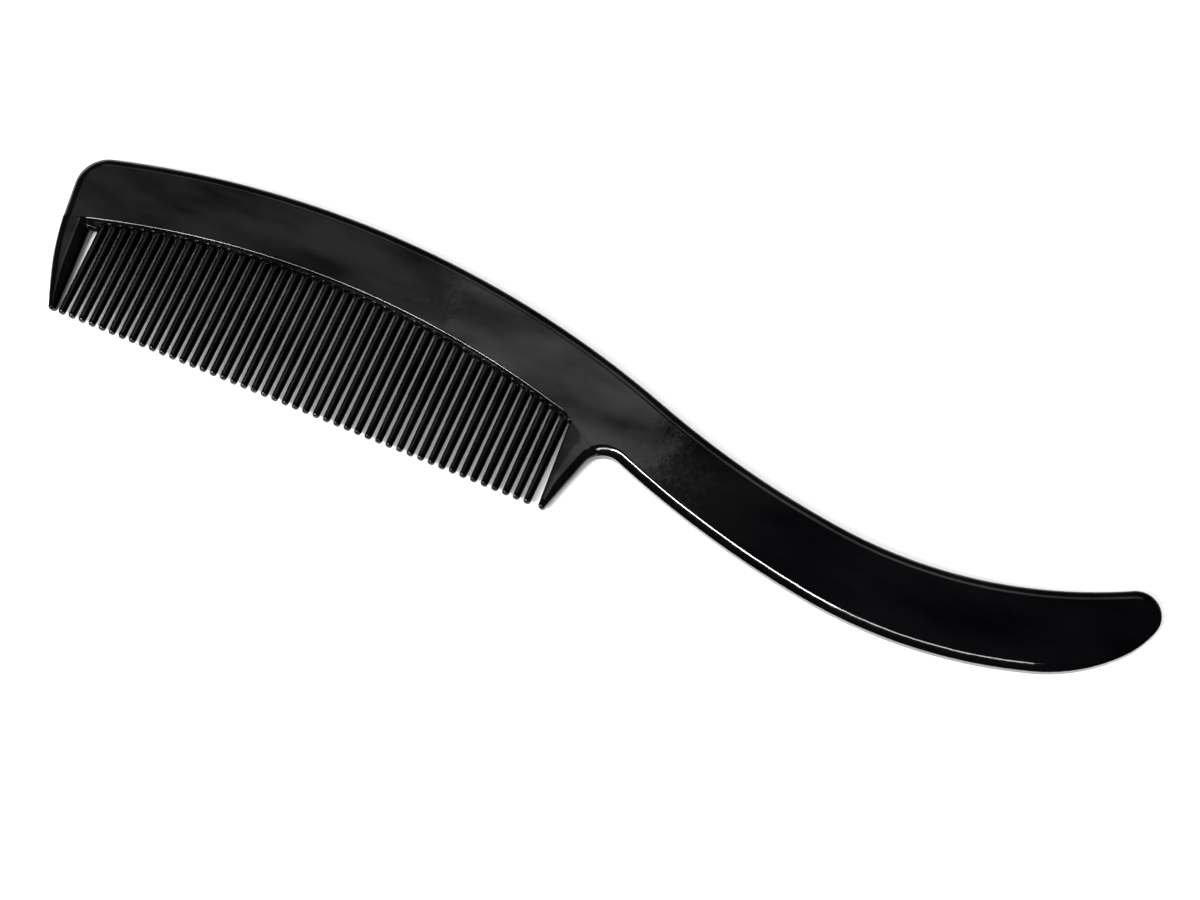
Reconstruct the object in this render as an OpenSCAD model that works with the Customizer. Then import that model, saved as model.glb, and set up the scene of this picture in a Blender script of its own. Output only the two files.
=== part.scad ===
// Dressing comb with an S-curved handle, moulded in one piece and divided here into
// its back, handle, two guard teeth and the row of comb teeth.
//
// Drawing axes: x runs along the line of the tooth tips from the toe to the handle,
// y from the tips up to the back, z through the thickness from the middle of the comb.
// The finished model is moved so that it lies flat, with its origin under its middle.

/* [Head] */
// Height of the back's crest above the tooth tips
head_h = 36.9; // [36.5:0.1:37.5]
// Place of the back's crest along the row of tips
crest_x = 46.5; // [46.2:0.1:46.8]
// Height of the root line's crest above the tooth tips
root_h = 24.3; // [24:0.1:25]
// Radius of the root line, where the teeth leave the back
root_r = 183; // [180:1:186]
// Thickness of the back and the handle
thick = 4; // [3.8:0.1:5]
// Rounding of the outer edges
edge_r = 1.5; // [1:0.1:1.6]

/* [Teeth] */
// Number of comb teeth between the two guard teeth
tooth_n = 46; // [40:1:46]
// Distance from one tooth to the next
pitch = 2.1; // [2:0.05:2.1]
// Width of a tooth at its root
tooth_root_w = 1.2; // [1:0.05:1.4]
// Width of a tooth at its tip
tooth_tip_w = 0.95; // [0.7:0.05:1]
// Thickness of a tooth at its root
tooth_root_t = 3; // [2.4:0.1:3.2]
// Thickness of a tooth at its tip
tooth_tip_t = 2; // [1.4:0.1:2.2]

/* [Guard teeth] */
// Thickness of a guard tooth at its tip
guard_tip_t = 2; // [1.6:0.1:2.2]

/* [Hidden] */
// The outline as a chain of arcs that run into each other without a kink, clockwise from
// the toe guard's tip. Each entry is [radius, angle of the outward normal where it ends]:
// a radius over 0 bulges outwards and one under 0 is hollow.
OUTLINE = [
    [0.7, 206],       // toe guard tip
    [300, 205.5],     // toe guard's outer edge, near the tip
    [49, 188.5],      // toe guard's outer edge
    [400, 187.4],     // toe side
    [6, 104.25],      // toe corner
    [199, 70.75],     // back
    [-182, 82.85],    // neck, upper edge
    [-88, 116.8],     // dip of the handle
    [4.3, -18.8],     // handle tip, upper corner
    [17.5, -42.4],    // handle tip, end
    [30, -72.6],      // handle tip, lower corner
    [91.5, -98.5],    // belly of the handle
    [194, -110.6],    // neck, lower edge
    [-4.2, -18.7],    // notch behind the heel guard
    [-395, -17.2],    // heel guard's outer edge
    [0.65, -177]      // heel guard tip
];
TOE_OUTER = 2;
TOE_SIDE = 3;
CORNER = 4;
BACK = 5;
NECK_TOP = 6;
HANDLE_TIP = 8;
NECK_UNDER = 12;
NOTCH = 13;
HEEL_TIP = 15;
// Angles of the outward normal where the chain starts and at two of the cuts between nodes
OUTLINE_START = 366;
neck_cut_a = 70.9;
crease_cut_a = -52;
// Degrees of turn between neighbouring points of a tight arc and of a long one
turn_step = 9;
long_turn_step = 1.5;
long_r = 45;
// Steps in the rounding of an edge, from the side to the face
edge_steps = 3;
// Steps in a rounded tooth tip, and in the round end of a gap between teeth
tip_steps = 6;
gap_steps = 4;

// Where the root line ends at the toe and heel guard teeth
toe_root_x = -1.25;
heel_root_x = 98;
root_steps = 40;
// Distance below the root line at which the separate teeth begin
band_h = 1.15;
// Length of a block that cuts across one tooth
cross = 4;
// Colours of the moulded plastic
black = [0.05, 0.05, 0.06];
tooth_black = [0.1, 0.1, 0.11];

function dir(a) = [cos(a), sin(a)];

function unit(v) = v / norm(v);

function arc_r(i) = OUTLINE[i][0];

function arc_end(i) = i < 0 ? OUTLINE_START : OUTLINE[i][1];

// Every centre follows from the back's centre by way of the points where arcs meet
function arc_centre(i) =
    i == BACK ? [crest_x, head_h - arc_r(BACK)] :
    i > BACK ? arc_centre(i - 1) + (arc_r(i - 1) - arc_r(i)) * dir(arc_end(i - 1)) :
    arc_centre(i + 1) + (arc_r(i + 1) - arc_r(i)) * dir(arc_end(i));

function arc_point(i, a) = arc_centre(i) + arc_r(i) * dir(a);

// Points of arc i between two normal angles, each as [point, outward normal]
function arc_run(i, a0, a1) =
    let (n = ceil(abs(a1 - a0) / (abs(arc_r(i)) > long_r ? long_turn_step : turn_step)))
    [for (s = [1:n]) let (a = a0 + (a1 - a0) * s / n) [arc_point(i, a), dir(a)]];

function chain(first, last) =
    [for (i = [first:last]) each arc_run(i, arc_end(i - 1), arc_end(i))];

// The root line is an arc below the back
root_centre = [crest_x, root_h - root_r];

function root_y(x, drop = 0) =
    root_centre[1] + sqrt(pow(root_r - drop, 2) - pow(x - root_centre[0], 2));

function root_point(x) = [x, root_y(x)];

toe_root = root_point(toe_root_x);
heel_root = root_point(heel_root_x);

// Ends of the cuts between the nodes
toe_cut = arc_point(TOE_OUTER, arc_end(TOE_OUTER));
neck_top = arc_point(NECK_TOP, neck_cut_a);
neck_under = arc_point(NECK_UNDER, arc_end(NECK_UNDER));
crease = arc_point(NOTCH, crease_cut_a);

// An outline point where a cut ends: its rounding runs along the cut, away from its other end
function cut_end(p, other) = [p, unit(p - other)];

// A point with no rounding
function sharp(p) = [p, [0, 0]];

// Straight inner edge of a guard tooth, from its root to its tip arc, without its end points
function inner_edge(root, tip, a) =
    [for (t = [0.1, 0.35, 0.6, 0.85]) [root + t * (tip - root), dir(a)]];

function tooth_x(k) = k * pitch;

function tooth_root_y(k) = root_y(tooth_x(k), band_h);

function tooth_name(k) = str("tooth_", k < 10 ? "0" : "", k);

// The comb's box, from the toe side to the handle's tip
toe_x = arc_centre(CORNER)[0] - arc_r(CORNER);
tip_x = arc_centre(HANDLE_TIP)[0] + arc_r(HANDLE_TIP);

// Moves a piece from the drawing axes to the comb's own frame
module lay_flat() {
    translate([-(toe_x + tip_x) / 2, -head_h / 2, thick / 2]) children();
}

// Triangles that fill an outline with indices i and j at its start, by going up both of its
// sides in turn: `rank` holds how far along each point is
function fill(rank, i, j) =
    let (n = len(rank), next_i = (i + 1) % n, next_j = (j + n - 1) % n)
    next_i == j ? [] :
    rank[next_i] < rank[next_j] ? concat([[i, next_i, j]], fill(rank, next_i, j)) :
    concat([[i, next_j, j]], fill(rank, i, next_j));

// Plate with rounded edges. `run` is its outline, clockwise, as [point, outward normal],
// and an edge whose points have no normal stays sharp. The faces slope towards each other
// by `slope` for each mm from the point `from` along the direction `along`. The outline
// goes one way up and one way down along `grain`.
module rounded_plate(run, grain, from = [0, 0], along = [0, 0], slope = 0) {
    n = len(run);
    layers = 2 * (edge_steps + 1);
    straight = thick / 2 - edge_r;
    function half(p) = thick / 2 - slope * (p - from) * along;
    rounding = [
        for (side = [-1, 1])
            for (s = [0:edge_steps])
                [side, 90 * (side < 0 ? edge_steps - s : s) / edge_steps]
    ];
    points = [
        for (layer = rounding)
            for (p = run)
                let (inset = (half(p[0]) - straight) * (1 - cos(layer[1])))
                let (xy = p[0] - inset * p[1])
                let (z = straight + (half(xy) - straight) * sin(layer[1]))
                [xy[0], xy[1], layer[0] * z]
    ];
    walls = [
        for (j = [0:layers - 2])
            for (i = [0:n - 1])
                let (k = (i + 1) % n, low = j * n, high = low + n)
                each [[low + i, low + k, high + k], [low + i, high + k, high + i]]
    ];
    rank = [for (i = [0:n - 1]) [points[i][0], points[i][1]] * grain];
    start = search(min(rank), rank)[0];
    face = fill(rank, start, (start + n - 1) % n);
    bottom = [for (t = face) [t[2], t[1], t[0]]];
    top = [for (t = face) [for (i = t) (layers - 1) * n + i]];
    polyhedron(points, concat(bottom, top, walls));
}

module spine() {
    color(black) lay_flat() rounded_plate(concat(
        [cut_end(toe_cut, toe_root)],
        chain(TOE_SIDE, BACK),
        [cut_end(neck_top, neck_under), cut_end(neck_under, neck_top)],
        arc_run(NOTCH, arc_end(NECK_UNDER), crease_cut_a - turn_step),
        [cut_end(crease, heel_root)],
        [
            for (s = [0:root_steps])
                sharp(root_point(heel_root_x + (toe_root_x - heel_root_x) * s / root_steps))
        ]
    ), [1, 0]);
}

// Thinner band under the back that carries the tooth roots, with round ends to the gaps
module root_band() {
    half_w = tooth_root_w / 2;
    gap_r = pitch / 2 - half_w;
    top = [
        for (s = [0:root_steps])
            root_point(toe_root_x + (heel_root_x - toe_root_x) * s / root_steps)
    ];
    // For each gap, from right to left: an arch between the roots of its two teeth
    arches = [
        for (k = [tooth_n - 1:-1:1])
            for (s = [0:gap_steps])
                let (t = s / gap_steps, a = 180 * t)
                let (base = tooth_root_y(k + 1) * (1 - t) + tooth_root_y(k) * t)
                [tooth_x(k) + pitch / 2 + gap_r * cos(a), base + gap_r * sin(a)]
    ];
    first = [tooth_x(1) - half_w, tooth_root_y(1)];
    last = [tooth_x(tooth_n) + half_w, tooth_root_y(tooth_n)];
    color(tooth_black) lay_flat()
        linear_extrude(tooth_root_t, center = true)
            polygon(concat(top, [last + [0.3, gap_r], last], arches, [first, first + [-0.5, gap_r]]));
}

// Guard tooth whose faces slope from the cut at its root to its tip
module guard_tooth(run, root_a, root_b, tip) {
    across = unit(root_b - root_a);
    along = [across[1], -across[0]];
    slope = (thick - guard_tip_t) / 2 / ((tip - root_a) * along);
    rounded_plate(run, [0, 1], root_a, along, slope);
}

module toe_guard_tooth() {
    tip = arc_point(0, OUTLINE_START);
    color(black) lay_flat() guard_tooth(
        concat(
            [[tip, dir(OUTLINE_START)]],
            chain(0, TOE_OUTER - 1),
            arc_run(TOE_OUTER, arc_end(TOE_OUTER - 1), arc_end(TOE_OUTER) + turn_step / 3),
            [cut_end(toe_cut, toe_root), sharp(toe_root)],
            inner_edge(toe_root, tip, OUTLINE_START)
        ),
        toe_cut, toe_root, tip
    );
}

module heel_guard_tooth() {
    tip = arc_point(HEEL_TIP, arc_end(HEEL_TIP));
    inner = inner_edge(heel_root, tip, arc_end(HEEL_TIP));
    color(black) lay_flat() guard_tooth(
        concat(
            [sharp(heel_root), cut_end(crease, heel_root)],
            arc_run(NOTCH, crease_cut_a, arc_end(NOTCH)),
            chain(NOTCH + 1, HEEL_TIP),
            [for (i = [len(inner) - 1:-1:0]) inner[i]]
        ),
        heel_root, crease, tip
    );
}

module handle() {
    color(black) lay_flat() rounded_plate(concat(
        [cut_end(neck_under, neck_top), cut_end(neck_top, neck_under)],
        arc_run(NECK_TOP, neck_cut_a, arc_end(NECK_TOP)),
        chain(NECK_TOP + 1, NECK_UNDER - 1),
        arc_run(NECK_UNDER, arc_end(NECK_UNDER - 1), arc_end(NECK_UNDER) + long_turn_step)
    ), [1, 0]);
}

// Bar with straight sides that narrows from a root to a rounded tip at y = 0
module tapered_bar(length, root_w, tip_w) {
    r = tip_w / 2;
    tip = [for (s = [0:tip_steps]) let (a = 180 * s / tip_steps) [r * cos(a), r - r * sin(a)]];
    polygon(concat([[-root_w / 2, length], [root_w / 2, length]], tip));
}

module comb_tooth(k) {
    length = tooth_root_y(k);
    color(tooth_black) lay_flat() translate([tooth_x(k), 0, 0]) intersection() {
        linear_extrude(cross, center = true) tapered_bar(length, tooth_root_w, tooth_tip_w);
        rotate([0, 90, 0])
            linear_extrude(cross, center = true)
                tapered_bar(length, tooth_root_t, tooth_tip_t);
    }
}

spine();
root_band();
toe_guard_tooth();
heel_guard_tooth();
handle();
for (k = [1:tooth_n])
    comb_tooth(k);
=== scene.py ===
from math import atan2, cos, pi, radians, sin, sqrt

import bpy
from mathutils import Matrix, Vector


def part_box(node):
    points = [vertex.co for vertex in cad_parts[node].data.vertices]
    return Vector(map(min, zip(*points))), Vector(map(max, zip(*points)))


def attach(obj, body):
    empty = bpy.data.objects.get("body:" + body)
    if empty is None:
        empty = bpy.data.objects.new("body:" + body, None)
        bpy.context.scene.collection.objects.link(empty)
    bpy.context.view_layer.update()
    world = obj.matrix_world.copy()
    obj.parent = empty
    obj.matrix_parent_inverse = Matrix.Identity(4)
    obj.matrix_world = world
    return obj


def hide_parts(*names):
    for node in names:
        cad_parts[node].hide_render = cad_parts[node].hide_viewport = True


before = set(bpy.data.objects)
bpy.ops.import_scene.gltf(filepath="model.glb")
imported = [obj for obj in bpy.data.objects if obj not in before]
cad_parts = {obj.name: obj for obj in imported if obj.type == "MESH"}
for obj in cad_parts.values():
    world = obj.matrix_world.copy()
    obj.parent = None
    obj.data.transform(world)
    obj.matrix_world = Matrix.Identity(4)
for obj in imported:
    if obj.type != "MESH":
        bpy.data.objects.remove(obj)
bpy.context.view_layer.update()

# ---------------------------------------------------------------------------
# View and studio. The comb lies flat on a white sheet and the camera looks down at it from the
# handle's side. Two strip lamps stand in front of the teeth and a soft lamp behind the back.
# Two dim cards hang over the head and neck, and a wide lamp overhead lights only the sheet.
scene = bpy.context.scene
scene.view_settings.view_transform = "Standard"

CAMERA_PLACE = Vector((0.0940, -0.1098, 0.4430))
CAMERA_RIGHT = Vector((0.9109, 0.4034, -0.0871)).normalized()
CAMERA_BACK = Vector((0.1923, -0.2282, 0.9544)).normalized()
camera_up = CAMERA_BACK.cross(CAMERA_RIGHT).normalized()
camera_right = camera_up.cross(CAMERA_BACK)
bpy.ops.object.camera_add()
camera = bpy.context.object
camera.name = "camera"
camera.matrix_world = Matrix.Translation(CAMERA_PLACE) @ Matrix(
    (camera_right, camera_up, CAMERA_BACK)
).transposed().to_4x4()
camera.data.sensor_width = 36
camera.data.lens = 78
camera.data.clip_start = 0.01
camera.data.dof.use_dof = False
scene.camera = camera


def paper():
    """Matte white paper with a faint tooth to its surface."""
    material = bpy.data.materials.new("white_paper")
    material.use_nodes = True
    nodes, links = material.node_tree.nodes, material.node_tree.links
    shader = nodes["Principled BSDF"]
    shader.inputs["Base Color"].default_value = (0.9, 0.9, 0.9, 1)
    shader.inputs["Roughness"].default_value = 0.9
    shader.inputs["Specular IOR Level"].default_value = 0.1
    place = nodes.new("ShaderNodeTexCoord")
    grain = nodes.new("ShaderNodeTexNoise")
    grain.inputs["Scale"].default_value = 1500
    bump = nodes.new("ShaderNodeBump")
    bump.inputs["Strength"].default_value = 0.15
    bump.inputs["Distance"].default_value = 0.0001
    links.new(place.outputs["Object"], grain.inputs["Vector"])
    links.new(grain.outputs["Fac"], bump.inputs["Height"])
    links.new(bump.outputs["Normal"], shader.inputs["Normal"])
    return material


# The sheet lies a hair under the comb, so that no two faces share a plane
SHEET_SIZE = 6
SHEET_Z = -0.00005
bpy.ops.mesh.primitive_plane_add(size=SHEET_SIZE, location=(0, 0, SHEET_Z))
floor = bpy.context.object
floor.name = "white_sheet"
floor.data.materials.append(paper())


def area_light(name, place, aim, size, power):
    """A rectangular light that faces the point it is aimed at."""
    bpy.ops.object.light_add(type="AREA", location=place)
    light = bpy.context.object
    light.name = name
    light.data.shape = "RECTANGLE"
    light.data.size, light.data.size_y = size
    light.data.energy = power
    light.rotation_euler = (Vector(aim) - Vector(place)).to_track_quat("-Z", "Y").to_euler()
    return light


area_light("key_strip", (-0.48, -0.81, 1.18), (0, 0, 0), (0.65, 0.12), 26)
area_light("side_strip", (0.13, -0.935, 1.18), (0, 0, 0), (0.7, 0.12), 5.5)
area_light("head_card", (-0.475, 0.28, 1.0), (-0.475, 0.28, 0), (0.33, 0.5), 0.25)
area_light("neck_card", (-0.235, 0.28, 1.0), (-0.235, 0.28, 0), (0.15, 0.5), 0.31)
area_light("back_softbox", (-0.6, 1.5, 1.1), (0, 0, 0), (1.6, 0.8), 4)
sheet_wash = area_light("sheet_wash", (0, 0, 1.4), (0, 0, 0), (2, 2), 33)
sheet_wash.visible_glossy = False

world = bpy.data.worlds.new("dim_studio")
scene.world = world
world.use_nodes = True
world.node_tree.nodes["Background"].inputs["Color"].default_value = (1, 1, 1, 1)
world.node_tree.nodes["Background"].inputs["Strength"].default_value = 0.06

# ---------------------------------------------------------------------------
# Back and handle. The comb is injection moulded in one shot of black plastic, so the back
# runs on into the handle with no seam. The mould is polished and its outer edges are
# rounded, and a small step leads down to the row of teeth.
MM = 0.001
THICK = 4.0
EDGE_SLOPE = 1.65
EDGE_DROP = 1.0
EDGE_PROFILE = 0.31
STEP_ROUND = 0.55
STEP_PROFILE = 0.4
PITCH = 2.1
first_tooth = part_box("tooth_01")
ROW_X = (first_tooth[0].x + first_tooth[1].x) / 2 / MM - PITCH
TIP_Y = first_tooth[0].y / MM
MIDDLE = THICK / 2
FACE_RIM = 0.15


def at(x, y, z=MIDDLE):
    """A point of the drawing, whose x runs along the tips and y up from them, in metres."""
    return Vector(((ROW_X + x) * MM, (TIP_Y + y) * MM, z * MM))


def along(angle):
    return Vector((cos(radians(angle)), sin(radians(angle))))


# The outline, clockwise from the top of the toe guard tooth: each arc's radius, hollow if
# it is under 0, the angle of its outward normal where it ends, and its steps
OUTLINE_START = Vector((-5.8955, 16.5833))
OUTLINE_START_ANGLE = 188.5
OUTLINE_ARCS = [
    (400, 187.4, 4), (6, 104.25, 16), (199, 70.75, 34), (-182, 82.85, 14),
    (-88, 116.8, 24), (4.3, -18.8, 24), (17.5, -42.4, 7), (30, -72.6, 10),
    (91.5, -98.5, 18), (194, -110.6, 14), (-4.2, -52, 14),
]
HEEL_ROOT = Vector((98.0, 16.904))
TOE_ROOT = Vector((-1.25, 17.9605))
ROOT_CENTRE = Vector((46.5, 24.3 - 183))
ROOT_R = 183


def start_path(name, point, z):
    """A new mesh of one selected point, left in edit mode, for a path to grow from."""
    bpy.ops.object.select_all(action="DESELECT")
    bpy.ops.mesh.primitive_plane_add(size=MM)
    piece = bpy.context.object
    piece.name = piece.data.name = name
    bpy.context.tool_settings.mesh_select_mode = (True, False, False)
    bpy.ops.object.mode_set(mode="EDIT")
    bpy.ops.mesh.select_all(action="SELECT")
    bpy.ops.mesh.merge(type="CENTER")
    bpy.ops.transform.translate(value=at(*point, z))
    return piece


def draw_arc(centre, turn, steps, z):
    """Carries the path on round a centre, anticlockwise for a turn over 0."""
    bpy.ops.mesh.spin(steps=steps, angle=radians(turn), center=at(*centre, z), axis=(0, 0, -1))


def draw_line(start, end):
    """Carries the path on in a straight line."""
    bpy.ops.mesh.extrude_region_move(
        TRANSFORM_OT_translate={"value": at(*end) - at(*start)}
    )


def fill_outline():
    """Joins the path's ends and fills it with one face."""
    bpy.ops.mesh.select_all(action="SELECT")
    bpy.ops.mesh.remove_doubles(threshold=0.005 * MM)
    bpy.ops.mesh.edge_face_add()


def select_edges(piece, wanted):
    """Selects the edges whose two ends pass a test, given in drawing mm."""
    bpy.ops.object.mode_set(mode="OBJECT")
    mesh = piece.data
    points = [
        Vector((v.co.x / MM - ROW_X, v.co.y / MM - TIP_Y, v.co.z / MM)) for v in mesh.vertices
    ]
    for part in (mesh.polygons, mesh.edges, mesh.vertices):
        part.foreach_set("select", [False] * len(part))
    for edge in mesh.edges:
        edge.select = wanted(points[edge.vertices[0]], points[edge.vertices[1]])
    bpy.context.tool_settings.mesh_select_mode = (False, True, False)
    bpy.ops.object.mode_set(mode="EDIT")


def select_faces(piece, wanted):
    """Selects the faces whose normal and centre, in drawing mm, pass a test."""
    bpy.ops.object.mode_set(mode="OBJECT")
    mesh = piece.data
    for part in (mesh.vertices, mesh.edges, mesh.polygons):
        part.foreach_set("select", [False] * len(part))
    for face in mesh.polygons:
        c = face.center
        face.select = wanted(
            face.normal, Vector((c.x / MM - ROW_X, c.y / MM - TIP_Y, c.z / MM))
        )
    bpy.context.tool_settings.mesh_select_mode = (False, False, True)
    bpy.ops.object.mode_set(mode="EDIT")


def on_root_line(p):
    return p.x < HEEL_ROOT.x + 0.1 and abs((p.xy - ROOT_CENTRE).length - ROOT_R) < 0.02


def level(p, q):
    return abs(p.z - q.z) < 0.001


body = start_path("back_and_handle", OUTLINE_START, 0)
centre = OUTLINE_START - OUTLINE_ARCS[0][0] * along(OUTLINE_START_ANGLE)
angle = OUTLINE_START_ANGLE
for number, (radius, end, steps) in enumerate(OUTLINE_ARCS):
    if number:
        centre = centre + (OUTLINE_ARCS[number - 1][0] - radius) * along(angle)
    draw_arc(centre, end - angle, steps, 0)
    angle = end
CREASE = centre + radius * along(angle)
draw_line(CREASE, HEEL_ROOT)
heel_angle = atan2(*(HEEL_ROOT - ROOT_CENTRE).yx)
toe_angle = atan2(*(TOE_ROOT - ROOT_CENTRE).yx)
draw_arc(ROOT_CENTRE, (toe_angle - heel_angle) * 180 / pi, 44, 0)
draw_line(TOE_ROOT, OUTLINE_START)
fill_outline()
bpy.ops.mesh.extrude_region_move(TRANSFORM_OT_translate={"value": (0, 0, THICK * MM)})
# The outer edges are bevelled as deep as they are wide, then pressed flatter
select_edges(body, lambda p, q: level(p, q) and not on_root_line(p) and not on_root_line(q))
bpy.ops.mesh.bevel(
    offset=EDGE_SLOPE * MM, segments=8, profile=EDGE_PROFILE, clamp_overlap=False
)
for face_z, inward in ((0, 1), (THICK, -1)):
    select_edges(
        body,
        lambda p, q: max((p.z - face_z) * inward, (q.z - face_z) * inward) < EDGE_SLOPE + 0.01,
    )
    bpy.ops.transform.resize(
        value=(1, 1, EDGE_DROP / EDGE_SLOPE), center_override=(0, 0, face_z * MM)
    )
select_edges(
    body,
    lambda p, q: level(p, q) and on_root_line(p) and on_root_line(q)
    and min(abs(p.z), abs(p.z - THICK)) < 0.001,
)
bpy.ops.mesh.bevel(
    offset=STEP_ROUND * MM, segments=5, profile=STEP_PROFILE, clamp_overlap=False
)
# A narrow rim keeps the shading of the two flat faces level
select_faces(body, lambda normal, c: abs(normal.z) > 0.9999)
bpy.ops.mesh.inset(thickness=FACE_RIM * MM, use_individual=True)
bpy.ops.mesh.select_all(action="SELECT")
bpy.ops.mesh.normals_make_consistent(inside=False)
bpy.ops.object.mode_set(mode="OBJECT")
bpy.ops.object.shade_smooth_by_angle(angle=radians(35))


def moulded_plastic():
    """Polished black plastic: a faint flow haze, fine dust-like roughness and rub marks."""
    material = bpy.data.materials.new("moulded_black_plastic")
    material.use_nodes = True
    nodes, links = material.node_tree.nodes, material.node_tree.links
    shader = nodes["Principled BSDF"]
    shader.inputs["IOR"].default_value = 1.5
    place = nodes.new("ShaderNodeTexCoord")

    haze = nodes.new("ShaderNodeTexNoise")
    haze.inputs["Scale"].default_value = 45
    haze.inputs["Detail"].default_value = 5
    stretch = nodes.new("ShaderNodeMapping")
    stretch.inputs["Scale"].default_value = (1, 3, 1)
    links.new(place.outputs["Object"], stretch.inputs["Vector"])
    links.new(stretch.outputs["Vector"], haze.inputs["Vector"])

    colour = nodes.new("ShaderNodeValToRGB")
    colour.color_ramp.elements[0].position = 0.35
    colour.color_ramp.elements[0].color = (0.0003, 0.0003, 0.0006, 1)
    colour.color_ramp.elements[1].position = 0.7
    colour.color_ramp.elements[1].color = (0.0009, 0.0009, 0.0012, 1)
    links.new(haze.outputs["Fac"], colour.inputs["Fac"])
    links.new(colour.outputs["Color"], shader.inputs["Base Color"])

    film = nodes.new("ShaderNodeMapRange")
    film.inputs["From Min"].default_value = 0.35
    film.inputs["From Max"].default_value = 0.65
    film.inputs["To Min"].default_value = 0.14
    film.inputs["To Max"].default_value = 0.46
    links.new(haze.outputs["Fac"], film.inputs["Value"])
    links.new(film.outputs["Result"], shader.inputs["Specular IOR Level"])

    speck = nodes.new("ShaderNodeTexNoise")
    speck.inputs["Scale"].default_value = 1400
    speck.inputs["Detail"].default_value = 2
    links.new(place.outputs["Object"], speck.inputs["Vector"])
    blend = nodes.new("ShaderNodeMix")
    blend.inputs["Factor"].default_value = 0.4
    links.new(haze.outputs["Fac"], blend.inputs["A"])
    links.new(speck.outputs["Fac"], blend.inputs["B"])
    gloss = nodes.new("ShaderNodeMapRange")
    gloss.inputs["From Min"].default_value = 0.3
    gloss.inputs["From Max"].default_value = 0.7
    gloss.inputs["To Min"].default_value = 0.05
    gloss.inputs["To Max"].default_value = 0.1
    links.new(blend.outputs["Result"], gloss.inputs["Value"])
    links.new(gloss.outputs["Result"], shader.inputs["Roughness"])

    ripple = nodes.new("ShaderNodeBump")
    ripple.inputs["Strength"].default_value = 0.25
    ripple.inputs["Distance"].default_value = 0.0004
    links.new(haze.outputs["Fac"], ripple.inputs["Height"])
    grain = nodes.new("ShaderNodeBump")
    grain.inputs["Strength"].default_value = 0.12
    grain.inputs["Distance"].default_value = 0.00003
    links.new(speck.outputs["Fac"], grain.inputs["Height"])
    links.new(ripple.outputs["Normal"], grain.inputs["Normal"])
    links.new(grain.outputs["Normal"], shader.inputs["Normal"])
    return material


plastic = moulded_plastic()


def finish_piece(piece, *nodes):
    """Gives a piece of the moulding its plastic and its place on the comb."""
    piece.data.materials.clear()
    piece.data.materials.append(plastic)
    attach(piece, "root")
    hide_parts(*nodes)


finish_piece(body, "spine", "handle")

# ---------------------------------------------------------------------------
# Root band. Under the step the moulding is thinner, and the gaps between the teeth end in
# it in small arches. Its walls slope, so that the comb lets go of both halves of the mould.
# A wider web fills the corner beside the toe guard.
TOOTH_COUNT = 46
ROOT_W = 1.2
ROOT_DROP = 1.15
BAND_HALF = 1.48
BAND_OVERLAP = 0.8
END_OVERLAP = 0.6
GAP_R = (PITCH - ROOT_W) / 2
HEEL_GAP_R = 0.4
TOE_GAP_END = -0.95
TOE_WEB = 1.2
PARTING = 0.02
# How the band's walls draw in as they rise from the parting line: the draft, then a soft edge
DRAFT_STEPS = [(0.2, BAND_HALF - 0.17), (0.09, 0.12), (0.08, 0.04)]


def root_line(x, drop=0.0):
    return ROOT_CENTRE.y + sqrt((ROOT_R - drop) ** 2 - (x - ROOT_CENTRE.x) ** 2)


def land(k):
    """Height at which tooth k leaves the band."""
    return root_line(k * PITCH, ROOT_DROP)


band_end = PITCH * TOOTH_COUNT + ROOT_W / 2 + 2 * HEEL_GAP_R
pen = Vector((band_end, root_line(HEEL_ROOT.x) + END_OVERLAP))
band = start_path("root_band_moulded", pen, MIDDLE)


def line_to(x, y):
    draw_line(pen, (x, y))
    pen.xy = x, y


line_to(pen.x, land(TOOTH_COUNT))
draw_arc((pen.x - HEEL_GAP_R, pen.y), 180, 8, MIDDLE)
pen.x -= 2 * HEEL_GAP_R
for k in range(TOOTH_COUNT, 1, -1):
    line_to(pen.x - ROOT_W, land(k))
    gap_end = max(land(k), land(k - 1))
    if gap_end > pen.y:
        line_to(pen.x, gap_end)
    draw_arc((pen.x - GAP_R, pen.y), 180, 8, MIDDLE)
    pen.x -= 2 * GAP_R
    if pen.y > land(k - 1):
        line_to(pen.x, land(k - 1))
line_to(pen.x - ROOT_W, land(1))
line_to(pen.x, land(1) - TOE_WEB)
draw_arc((pen.x - GAP_R, pen.y), 90, 4, MIDDLE)
pen.xy = pen.x - GAP_R, pen.y + GAP_R
line_to(TOE_GAP_END + GAP_R, pen.y)
draw_arc((pen.x, pen.y - GAP_R), 90, 4, MIDDLE)
pen.xy = TOE_GAP_END, pen.y - GAP_R
line_to(TOE_GAP_END - END_OVERLAP, pen.y)
line_to(pen.x, root_line(pen.x) + BAND_OVERLAP)
for x in range(4, 95, 6):
    line_to(x, root_line(x) + BAND_OVERLAP)
fill_outline()
bpy.ops.mesh.extrude_region_move(TRANSFORM_OT_translate={"value": (0, 0, PARTING * MM)})
select_faces(band, lambda normal, c: abs(normal.z) > 0.9)
for inward, rise in DRAFT_STEPS:
    bpy.ops.mesh.inset(thickness=inward * MM, depth=rise * MM, use_individual=True)
bpy.ops.mesh.select_all(action="SELECT")
bpy.ops.mesh.normals_make_consistent(inside=False)
# The recalculation goes by the outermost face, and on this arch it turns the shell inside out
bpy.ops.mesh.flip_normals()
bpy.ops.object.mode_set(mode="OBJECT")
bpy.ops.object.shade_smooth_by_angle(angle=radians(50))
finish_piece(band, "root_band")

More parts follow.
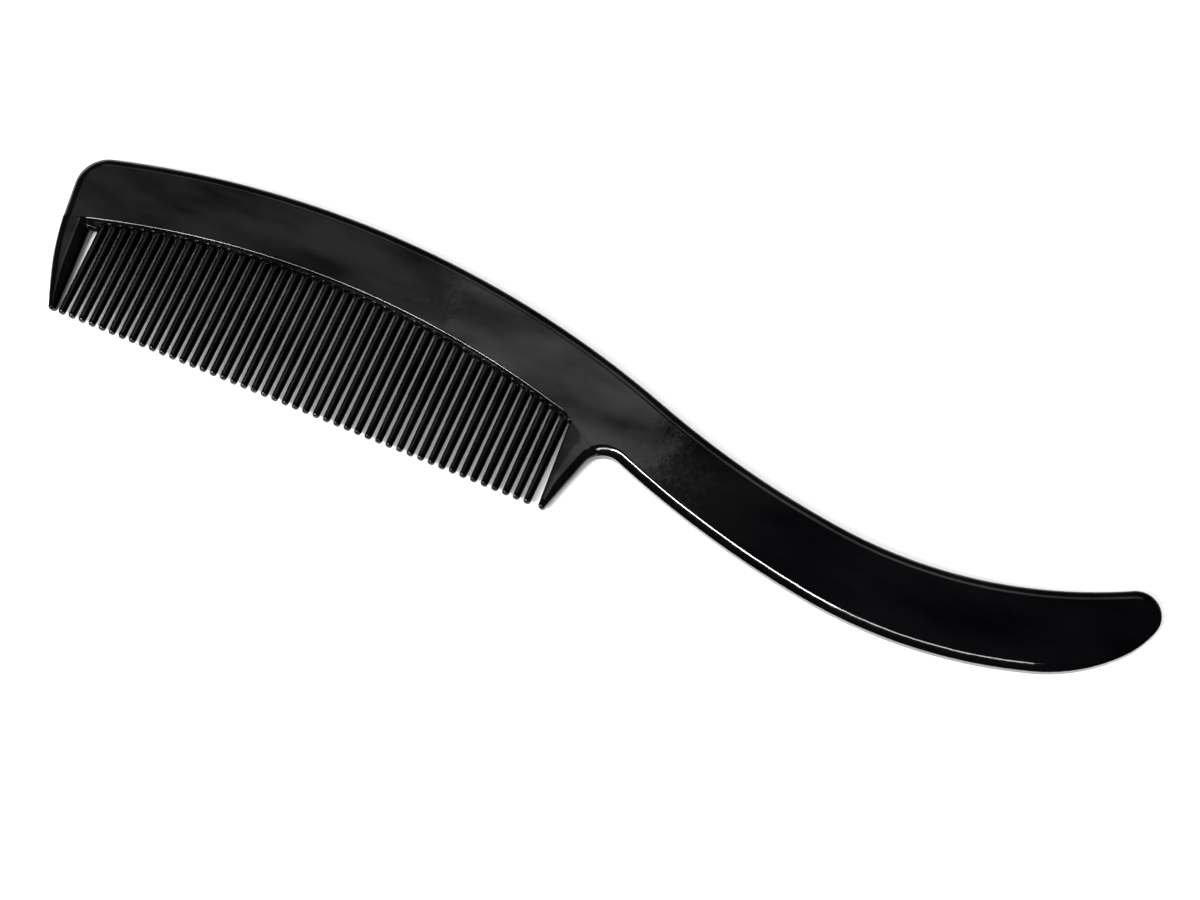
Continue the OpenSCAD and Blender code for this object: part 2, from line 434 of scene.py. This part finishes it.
# ---------------------------------------------------------------------------
# Guard teeth. A stout tooth stands at each end of the row. It is part of the same shot, as
# thick as the back where it leaves it, and its faces slope and its edges draw in to the tip.
RING = 28
CORNER_STEPS = 6
GUARD_TIP_HALF = 1.0
UNDER_ROUND = 0.5
FLATTEST_SIDE = 0.86
# Where the rings lie down a guard tooth, and how far round its rounded tip, in degrees
GUARD_PLACES = [0.0, 0.05, 0.11, 0.18, 0.26, 0.36, 0.48, 0.6, 0.72, 0.83, 0.92, 1.0]
TIP_TURNS = [22, 42, 58, 72, 82]
TIP_THINNING = 0.75
# The first ring is tucked up inside the back
TUCKED = -0.06
ROOT_TUCK = 0.5
SURFACE_GAP = 0.006


def guard_ring(outer, inner, half, outer_round, inner_round, flank):
    """Rounded oblong across a guard tooth, as points from its outer top corner round."""
    width = (inner - outer).length
    across = (inner - outer) / width
    outer_round = min(outer_round, width / 2)
    inner_round = min(inner_round, width / 2)
    ring = []
    for corner in range(4):
        outside = corner in (0, 3)
        r = outer_round if outside else min(UNDER_ROUND, inner_round)
        rise = min(r * EDGE_DROP / EDGE_SLOPE, half * FLATTEST_SIDE)
        if corner == 1:
            r = inner_round
            rise = half * flank
        side = -1 if outside else 1
        up = 1 if corner in (0, 1) else -1
        for step in range(CORNER_STEPS + 1):
            turn = radians(90 * step / CORNER_STEPS)
            if corner in (1, 3):
                turn = radians(90) - turn
            middle = (outer if outside else inner) - side * r * across
            xy = middle + side * r * cos(turn) * across
            ring.append((xy.x, xy.y, up * (half - rise + rise * sin(turn))))
    return ring


def guard_tooth(
    name, outer_edge, outer_top, inner_top, inner_end, tip_centre, tip_r, swell, inner_round, flank
):
    """Lofts a cylinder's rings down a guard tooth from the cut at its root to its tip."""
    cut = (inner_top - outer_top).normalized()
    slope_dir = Vector((cut.y, -cut.x)) * (1 if cut.x > 0 else -1)
    rings = [(TUCKED, 0)] + [(s, 0) for s in GUARD_PLACES] + [(1.0, d) for d in TIP_TURNS]
    bpy.ops.object.select_all(action="DESELECT")
    bpy.ops.mesh.primitive_cylinder_add(vertices=RING, radius=1, depth=2, end_fill_type="NGON")
    tooth = bpy.context.object
    tooth.name = tooth.data.name = name + "_moulded"
    select_edges(tooth, lambda p, q: not level(p, q))
    bpy.ops.mesh.subdivide(number_cuts=len(rings) - 2)
    bpy.ops.object.mode_set(mode="OBJECT")
    shaped = []
    length = (tip_centre - outer_top).dot(slope_dir)
    for s, dome in rings:
        shrink = cos(radians(dome))
        drop = tip_r * sin(radians(dome))
        y = outer_top.y + (tip_centre.y - outer_top.y) * max(s, 0)
        outer = Vector((outer_edge(y), y))
        inner = inner_top + (inner_end - inner_top) * max(s, 0)
        if s < 0:
            outer = outer - ROOT_TUCK * slope_dir
            inner = inner - ROOT_TUCK * slope_dir
        inner = inner + swell * (1 - max(s, 0)) * cut
        middle = (outer + inner) / 2
        outer = middle + (outer - middle) * shrink - Vector((0, drop))
        inner = middle + (inner - middle) * shrink - Vector((0, drop))
        far = max(0.0, min(1.0, ((outer + inner) / 2 - outer_top).dot(slope_dir) / length))
        half = MIDDLE - SURFACE_GAP - (MIDDLE - GUARD_TIP_HALF) * far
        half *= 1 - TIP_THINNING * (1 - shrink)
        shaped.append(guard_ring(outer, inner, half, EDGE_SLOPE, inner_round, flank))
    for vertex in tooth.data.vertices:
        level_number = round((1 - vertex.co.z) / 2 * (len(rings) - 1))
        spot = round((atan2(vertex.co.y, vertex.co.x) / (2 * pi)) % 1 * RING) % RING
        x, y, z = shaped[level_number][spot]
        vertex.co = at(x, y, MIDDLE + z)
    bpy.ops.object.mode_set(mode="EDIT")
    bpy.ops.mesh.select_all(action="SELECT")
    bpy.ops.mesh.remove_doubles(threshold=0.004 * MM)
    bpy.ops.mesh.normals_make_consistent(inside=False)
    bpy.ops.object.mode_set(mode="OBJECT")
    bpy.ops.object.shade_smooth_by_angle(angle=radians(45))
    finish_piece(tooth, name)


# The guard teeth's outer sides: an arc, then a straight slant to the tip
TOE_ARC_R = 49.0
TOE_ARC_END = Vector((-1.66, 2.731))
TOE_SLANT = 0.474
toe_arc_centre = OUTLINE_START - TOE_ARC_R * along(OUTLINE_START_ANGLE)


def toe_outer_edge(y):
    if y > TOE_ARC_END.y:
        return toe_arc_centre.x - sqrt(TOE_ARC_R**2 - (y - toe_arc_centre.y) ** 2)
    return TOE_ARC_END.x + (TOE_ARC_END.y - y) * TOE_SLANT


NOTCH_R = 4.2
NOTCH_END_Y = 10.506
HEEL_SLANT_END = Vector((100.16, 0.668))
HEEL_SLANT = 0.324
notch_centre = CREASE + NOTCH_R * along(-52)


def heel_outer_edge(y):
    if y > NOTCH_END_Y:
        return notch_centre.x - sqrt(NOTCH_R**2 - (y - notch_centre.y) ** 2)
    return HEEL_SLANT_END.x + (y - HEEL_SLANT_END.y) * HEEL_SLANT


guard_tooth(
    "toe_guard_tooth", toe_outer_edge, OUTLINE_START, TOE_ROOT,
    inner_end=Vector((0.802, 0.70)), tip_centre=Vector((0.106, 0.70)), tip_r=0.7,
    swell=0.8, inner_round=2.1, flank=1.5,
)
guard_tooth(
    "heel_guard_tooth", heel_outer_edge, CREASE, HEEL_ROOT,
    inner_end=Vector((98.89, 0.67)), tip_centre=Vector((99.54, 0.67)), tip_r=0.65,
    swell=0, inner_round=0.5, flank=0.2,
)

# ---------------------------------------------------------------------------
# Comb teeth. Each tooth is a slim six-sided bar with soft corners: a narrow flat on each
# face, sides that slope to the parting line, and a rounded tip. Only its length differs.
ROOT_HALF = 1.47
EMBED = 0.5
SIDE_SOFTNESS = 0.22
LONGEST = land(22)
# Places down a tooth: height, width before its side edges are softened, and half thickness
TOOTH_RINGS = [
    (LONGEST + EMBED, 1.8408, ROOT_HALF), (LONGEST, 1.8408, ROOT_HALF),
    (LONGEST * 0.5, 1.716, 1.24), (1.0, 1.5444, 1.0), (0.5, 1.5132, 0.96),
    (0.25, 1.3416, 0.84), (0.08, 0.9984, 0.62), (0.0, 0.5616, 0.36),
]
bpy.ops.object.select_all(action="DESELECT")
bpy.ops.mesh.primitive_circle_add(
    vertices=6, radius=MM, fill_type="NGON", rotation=(pi / 2, pi / 6, 0)
)
tooth = bpy.context.object
bpy.ops.object.transform_apply(location=True, rotation=True, scale=True)
bpy.ops.object.mode_set(mode="EDIT")
bpy.ops.mesh.select_all(action="SELECT")
bpy.ops.mesh.bevel(offset=SIDE_SOFTNESS * MM, segments=3, affect="VERTICES")
height, width, half = TOOTH_RINGS[0]
bpy.ops.transform.resize(value=(width / 2, 1, half / sin(pi / 3)), center_override=(0, 0, 0))
bpy.ops.transform.translate(value=at(0, height))
for (y, w, h), (below, next_w, next_h) in zip(TOOTH_RINGS, TOOTH_RINGS[1:]):
    bpy.ops.mesh.extrude_region_move(
        TRANSFORM_OT_translate={"value": (0, (below - y) * MM, 0)}
    )
    bpy.ops.transform.resize(value=(next_w / w, 1, next_h / h), center_override=at(0, below))
bpy.ops.mesh.select_all(action="SELECT")
bpy.ops.mesh.normals_make_consistent(inside=False)
bpy.ops.object.mode_set(mode="OBJECT")
bpy.ops.object.shade_smooth_by_angle(angle=radians(40))
for k in range(1, TOOTH_COUNT + 1):
    bpy.ops.object.select_all(action="DESELECT")
    tooth.select_set(True)
    bpy.context.view_layer.objects.active = tooth
    if k < TOOTH_COUNT:
        bpy.ops.object.duplicate(linked=False)
    copy = bpy.context.object
    copy.name = copy.data.name = f"tooth_{k:02d}_moulded"
    for vertex in copy.data.vertices:
        vertex.co.x += k * PITCH * MM
        if vertex.co.y > at(0, LONGEST * 0.75).y:
            vertex.co.y += (land(k) - LONGEST) * MM
        elif vertex.co.y > at(0, LONGEST * 0.25).y:
            vertex.co.y += (land(k) - LONGEST) / 2 * MM
    finish_piece(copy, f"tooth_{k:02d}")
